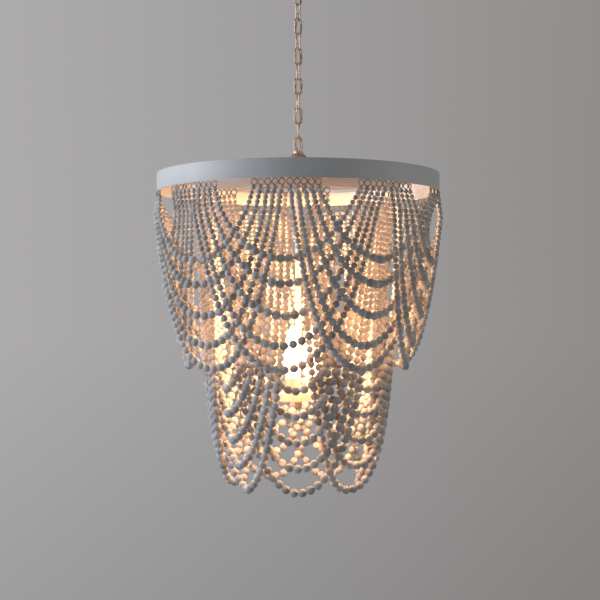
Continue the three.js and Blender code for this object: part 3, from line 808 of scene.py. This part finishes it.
canopyShell()
straightTube("collarRing", "canopy_collar", "ceiling", "satin_nickel", nickel, collarSet)
straightTube("nippleTube", "canopy_nipple", "ceiling", "satin_nickel", nickel, nippleSet)


# The lamp cluster under the stem

nearAxis = 0.01                   # a solid turning's outline stops this close to the axis
cupSet = {"radius": 35, "wall": 1.5, "edge": 1.2}
coverSet = {"bore": loopSet["bore"], "radius": 32.9, "segments": 96, "edge": 0.5}
finialSet = {
    "overFoot": [(nearAxis, 0), (3, 0), (5.2, 1.6), (6.8, 4)],
    "underTop": [(6.8, 1), (6.2, 0)],
    "threadDepth": 10,
    "segments": 48,
    "edge": 0.5,
}


def clusterCup():
    low, high = lowOf("cluster_body"), highOf("cluster_body")
    bore, radius, wall = loopSet["bore"], cupSet["radius"], cupSet["wall"]
    outline = [(bore, high - wall), (radius - wall, high - wall), (radius - wall, low), (radius, low),
               (radius, high), (bore, high)]
    piece = turnedPiece("clusterCup", outline, enamel, soften=cupSet["edge"])
    dressed(piece, "fixture", "white_enamel", "cluster_body")


def finialNut():
    low, high = lowOf("finial"), highOf("finial")
    bore, threadEnd = loopSet["bore"], high - finialSet["threadDepth"]
    outline = risingLine(finialSet, low, high) + [(bore, high), (bore, threadEnd), (nearAxis, threadEnd)]
    piece = turnedPiece("finialNut", outline, nickel, (0, 0), finialSet["segments"], finialSet["edge"])
    dressed(piece, "fixture", "satin_nickel", "finial")


clusterCup()
straightTube("clusterCover", "cluster_cover", "fixture", "white_enamel", enamel, coverSet)
finialNut()

sleeveSet = {"bore": 9.9, "radius": 11, "segments": 64, "edge": 0.4}
socketSet = {"radius": 9.3, "bore": 6.4, "floor": 3, "segments": 40, "edge": 0.4}
capSet = {
    "height": 19,
    "contact": [(nearAxis, 0), (2.6, 0), (4.4, 1.8)],          # radius, height
    "crest": 5.9, "root": 5.3, "threads": 4, "pitch": 3.2, "rim": 1,
    "postFoot": 2.4, "postTop": 1.5, "postSink": 3,            # the post, up to the filament
    "segments": 40,
    "edge": 0.3,
}
filamentSet = {"halfWidth": 5.5, "overCap": 22, "overPost": 10, "radius": 0.7, "sides": 8, "steps": 25}
bulbSet = {
    "heights": [0, 0.06, 0.12, 0.2, 0.31, 0.42, 0.58, 0.72, 0.85, 0.93, 0.98, 1.0],        # shares
    "radii": [6.8, 7.6, 11.6, 14.9, 16.5, 16.2, 14.2, 11.0, 7.3, 4.2, 1.9, 0.8],
    "wall": 0.9,
    "tip": 0.3,                   # radius at which both walls end
    "tipDepth": 1.5,              # thickness of the glass there
    "innerEnd": 1.5,              # the inner wall follows the outer one down to this radius
    "steps": 60,
    "segments": 40,
}


def lampSocket(number, spot):
    node = f"lamp_socket_{number}"
    low, high = lowOf(node), highOf(node)
    radius, bore, floor = socketSet["radius"], socketSet["bore"], low + socketSet["floor"]
    outline = [(nearAxis, low), (radius, low), (radius, high), (bore, high), (bore, floor),
               (nearAxis, floor)]
    name = f"socket_{number}"
    piece = turnedPiece(name, outline, resin, spot, socketSet["segments"], socketSet["edge"])
    dressed(piece, "fixture", "phenolic", node)


# A screw cap: a contact, a thread of crests and roots half a pitch apart, a rim and the post.
def bulbCap(number, spot):
    node = f"bulb_cap_{number}"
    low, high = lowOf(node), highOf(node)
    top, postEnd = low + capSet["height"], high - capSet["postSink"]
    crest, root, pitch = capSet["crest"], capSet["root"], capSet["pitch"]
    outline = [(radius, low + z) for radius, z in capSet["contact"]]
    for thread in range(1, capSet["threads"] + 1):
        outline += [(crest, low + pitch * thread), (root, low + pitch * (thread + 0.5))]
    outline += [(crest, top - capSet["rim"]), (crest, top), (capSet["postFoot"], top),
                (capSet["postTop"], postEnd), (nearAxis, postEnd)]
    piece = turnedPiece(f"cap_{number}", outline, brass, spot, capSet["segments"], capSet["edge"])
    dressed(piece, "fixture", "brass_cap", node)
    filament(number, spot, top + filamentSet["overCap"], high + filamentSet["overPost"])


# A hairpin of hot wire over the post: x = half width * cos(angle), z climbs as sin(angle).
def filament(number, spot, low, high):
    angle = np.linspace(0, math.pi, filamentSet["steps"])
    path = np.stack([spot[0] + filamentSet["halfWidth"] * np.cos(angle), spot[1] + 0 * angle,
                     low + (high - low) * np.sin(angle)], axis=-1)
    tube = tubePoints(path, filamentSet["radius"], filamentSet["sides"])
    faces = gridFaces(filamentSet["steps"], filamentSet["sides"], lids=True)
    piece = meshPiece(f"filament_{number}", tube * mm, faces, [tungsten], sharpDegrees=180)
    dressed(piece, "fixture", "brass_cap")


# A candle bulb: from neck to tip, the radius runs through the dictionary's points, smoothed by a
# weighted mean of five steps, and the inner wall is the same curve closer to the axis.
def bulbBody(number, spot):
    node = f"bulb_glass_{number}"
    low, high = lowOf(node), highOf(node)
    share = np.sin(np.linspace(0, 1, bulbSet["steps"]) * math.pi / 2)            # steps crowd at the tip
    profile = np.interp(share, bulbSet["heights"], bulbSet["radii"])
    weights = np.array([1, 2, 3, 2, 1]) / 9
    profile[2:-2] = np.convolve(profile, weights, "valid")
    outer = list(zip(profile.tolist(), (low + (high - low) * share).tolist()))
    inner = [(r - bulbSet["wall"], z) for r, z in outer[::-1] if r > bulbSet["innerEnd"]]
    outline = outer + [(bulbSet["tip"], high), (bulbSet["tip"], high - bulbSet["tipDepth"])] + inner
    piece = turnedPiece(f"bulb_{number}", outline, glass, spot, bulbSet["segments"], soften=0,
                        sharpDegrees=180)
    piece.visible_shadow = False
    dressed(piece, "fixture", "lamp_glass", node)


for number in (1, 2, 3):
    spot = middleOf(f"candle_sleeve_{number}")
    straightTube(f"sleeve_{number}", f"candle_sleeve_{number}", "fixture", "white_enamel", enamel,
                 sleeveSet, spot)
    lampSocket(number, spot)
    bulbCap(number, spot)
    bulbBody(number, spot)
print("turnings made")


# Flat CAD pieces keep their meshes and take the finishes.
def finishNode(node, material):
    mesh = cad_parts[node].data
    mesh.materials.clear()
    mesh.materials.append(material)


finishNode("spider", bandPaint)
finishNode("lock_nut", nickel)
finishNode("canopy_bracket", nickel)
print("flat pieces finished")


# Room and light

roomSet = {
    "floorUnderCeiling": 2400,
    "floorRadius": 2600,
    "floorCorners": 96,
    "floorDark": "#C9C7C4", "floorLight": "#CFCDCA", "floorCloud": 400,
    # The wall's greys are painted light: lighter on the left, where the light falls from, and darker on
    # the right.
    "wallLitLeft": "#AEACAE", "wallShadedRight": "#8F8D8B",
    "wallSpan": 0.26,             # sideways part of the view's direction where each grey is reached
    "duskLow": -0.24, "duskHigh": -0.02, "duskShade": 0.82,    # upright part where painted shade darkens the wall
    "ambient": "#EEEEEE", "ambientStrength": 0.305,
}


# Trowelled floor, sealed and matte: pale, with clouds as wide as a trowel's sweep.
def paleFloor():
    material, tree, shader = newMaterial("paleFloor", Roughness=0.8)
    sweeps = clouds(tree, roomSet["floorCloud"])
    tinted(tree, shader, sweeps, roomSet["floorDark"], roomSet["floorLight"])
    return material


def addFloor():
    corners = roomSet["floorCorners"]
    points = turnedPoints([(roomSet["floorRadius"], -roomSet["floorUnderCeiling"])], corners)
    meshPiece("floor", points * mm, [list(range(corners))], [paleFloor()])


# What the camera, glass and metal see is the wall's grey with painted light: lighter on the left, darker
# on the right, and painted shade lower down; what lights the pieces is softer.
def addWorld():
    world = bpy.data.worlds.new("room")
    bpy.context.scene.world = world
    world.use_nodes = True
    tree = world.node_tree
    tree.nodes.clear()
    rays = addNode(tree, "ShaderNodeLightPath").outputs
    seen = addNode(tree, "ShaderNodeMath", {"operation": "MAXIMUM"}, i0=rays["Is Camera Ray"],
                   i1=rays["Is Glossy Ray"])
    seen = addNode(tree, "ShaderNodeMath", {"operation": "MAXIMUM"}, i0=seen.outputs[0],
                   i1=rays["Is Transmission Ray"])
    light = addNode(tree, "ShaderNodeBackground", Color=linearColour(roomSet["ambient"]),
                    Strength=roomSet["ambientStrength"])
    place = addNode(tree, "ShaderNodeTexCoord").outputs["Generated"]
    apart = addNode(tree, "ShaderNodeSeparateXYZ", Vector=place)
    # Painted light: the wall's grey runs from lit on the left to shaded on the right.
    wash = addNode(tree, "ShaderNodeMapRange", Value=apart.outputs["X"], From_Min=-roomSet["wallSpan"],
                   From_Max=roomSet["wallSpan"])
    # Painted shade: the wall darkens lower down.
    dusk = addNode(tree, "ShaderNodeMapRange", Value=apart.outputs["Z"], From_Min=roomSet["duskLow"],
                   From_Max=roomSet["duskHigh"], To_Min=roomSet["duskShade"])
    shade = addNode(tree, "ShaderNodeValToRGB", Fac=wash.outputs["Result"],
                    stops=((0.0, roomSet["wallLitLeft"]), (1.0, roomSet["wallShadedRight"])))
    wall = addNode(tree, "ShaderNodeBackground", Color=shade.outputs["Color"],
                   Strength=dusk.outputs["Result"])
    both = addNode(tree, "ShaderNodeMixShader", i0=seen.outputs[0], i1=light.outputs[0],
                   i2=wall.outputs[0])
    addNode(tree, "ShaderNodeOutputWorld", Surface=both.outputs[0])


# One lamp at a place in mm, with its power in watts. A panel faces the point "aim".
def addLamp(name, kind, place, light, aim=None, **settings):
    data = bpy.data.lights.new(name, kind)
    data.energy = light["power"]
    data.color = linearColour(light["colour"])[:3]
    for key, value in settings.items():
        setattr(data, key, value)
    lamp = bpy.data.objects.new(name, data)
    bpy.context.collection.objects.link(lamp)
    lamp.location = np.array(place) * mm
    if aim:
        facing = Vector(np.subtract(aim, place).astype(float))
        lamp.rotation_euler = facing.to_track_quat("-Z", "Y").to_euler()
    return lamp


# A lamp that stands for thrown light: it casts no shadow, and shows in no view or reflection.
def addThrownLight(name, kind, place, light, aim=None, **settings):
    lamp = addLamp(name, kind, place, light, aim, use_shadow=False, **settings)
    lamp.visible_camera = False
    lamp.visible_glossy = False
    lamp.visible_transmission = False
    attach(lamp, "fixture")


panelAim = (0, 0, -650)
keyPanel = {"place": (-2570, -300, 0), "size": 2100, "power": 84, "colour": "#F2F5FF"}
fillPanel = {"place": (2550, -450, -300), "size": 1600, "power": 10, "colour": "#FFF6EC"}


def addPanel(name, panel):
    addLamp(name, "AREA", panel["place"], panel, panelAim, shape="DISK", size=panel["size"] * mm)


bulbLight = {"power": 1.6, "colour": "#FFC28E", "radius": 16, "upTheGlass": 0.6}


def addBulbLight(number):
    node = f"bulb_glass_{number}"
    low, high = lowOf(node), highOf(node)
    place = (*middleOf(node), low + bulbLight["upTheGlass"] * (high - low))
    lamp = addLamp(f"glow_{number}", "POINT", place, bulbLight,
                   shadow_soft_size=bulbLight["radius"] * mm)
    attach(lamp, "fixture")


# Panels between the two tiers face the axis: they stand for the light that the outer strings throw
# back. A soft lamp on the axis stands for what goes to and fro among all strings.
backSet = {
    "count": 6,
    "width": 200,
    "colour": "#FFAE76",
    "rings": [{"orbit": 205, "height": 190, "underDisc": 190, "power": 0.22},
              {"orbit": 180, "height": 90, "underDisc": 325, "power": 0.11},
              {"orbit": 100, "height": 110, "underDisc": 490, "power": 0.19}],
}
scatterSet = {"power": 9.4, "colour": "#FFC08A", "radius": 120, "underDisc": 235}


def addBackLight(number, ring):
    height = discTop - ring["underDisc"]
    place = planPoint(turn * (number + 0.5) / backSet["count"], ring["orbit"], height)
    light = {"power": ring["power"], "colour": backSet["colour"]}
    addThrownLight("throwBack", "AREA", place, light, (0, 0, height), shape="RECTANGLE",
                   size=backSet["width"] * mm, size_y=ring["height"] * mm)


def addScatter():
    addThrownLight("scatter", "POINT", (0, 0, discTop - scatterSet["underDisc"]), scatterSet,
                   shadow_soft_size=scatterSet["radius"] * mm)


addFloor()
addWorld()
addPanel("key", keyPanel)
addPanel("fill", fillPanel)
for number in (1, 2, 3):
    addBulbLight(number)
for ring in backSet["rings"]:
    for number in range(backSet["count"]):
        addBackLight(number, ring)
addScatter()
bpy.context.scene.view_settings.view_transform = "Standard"
print("lights on")
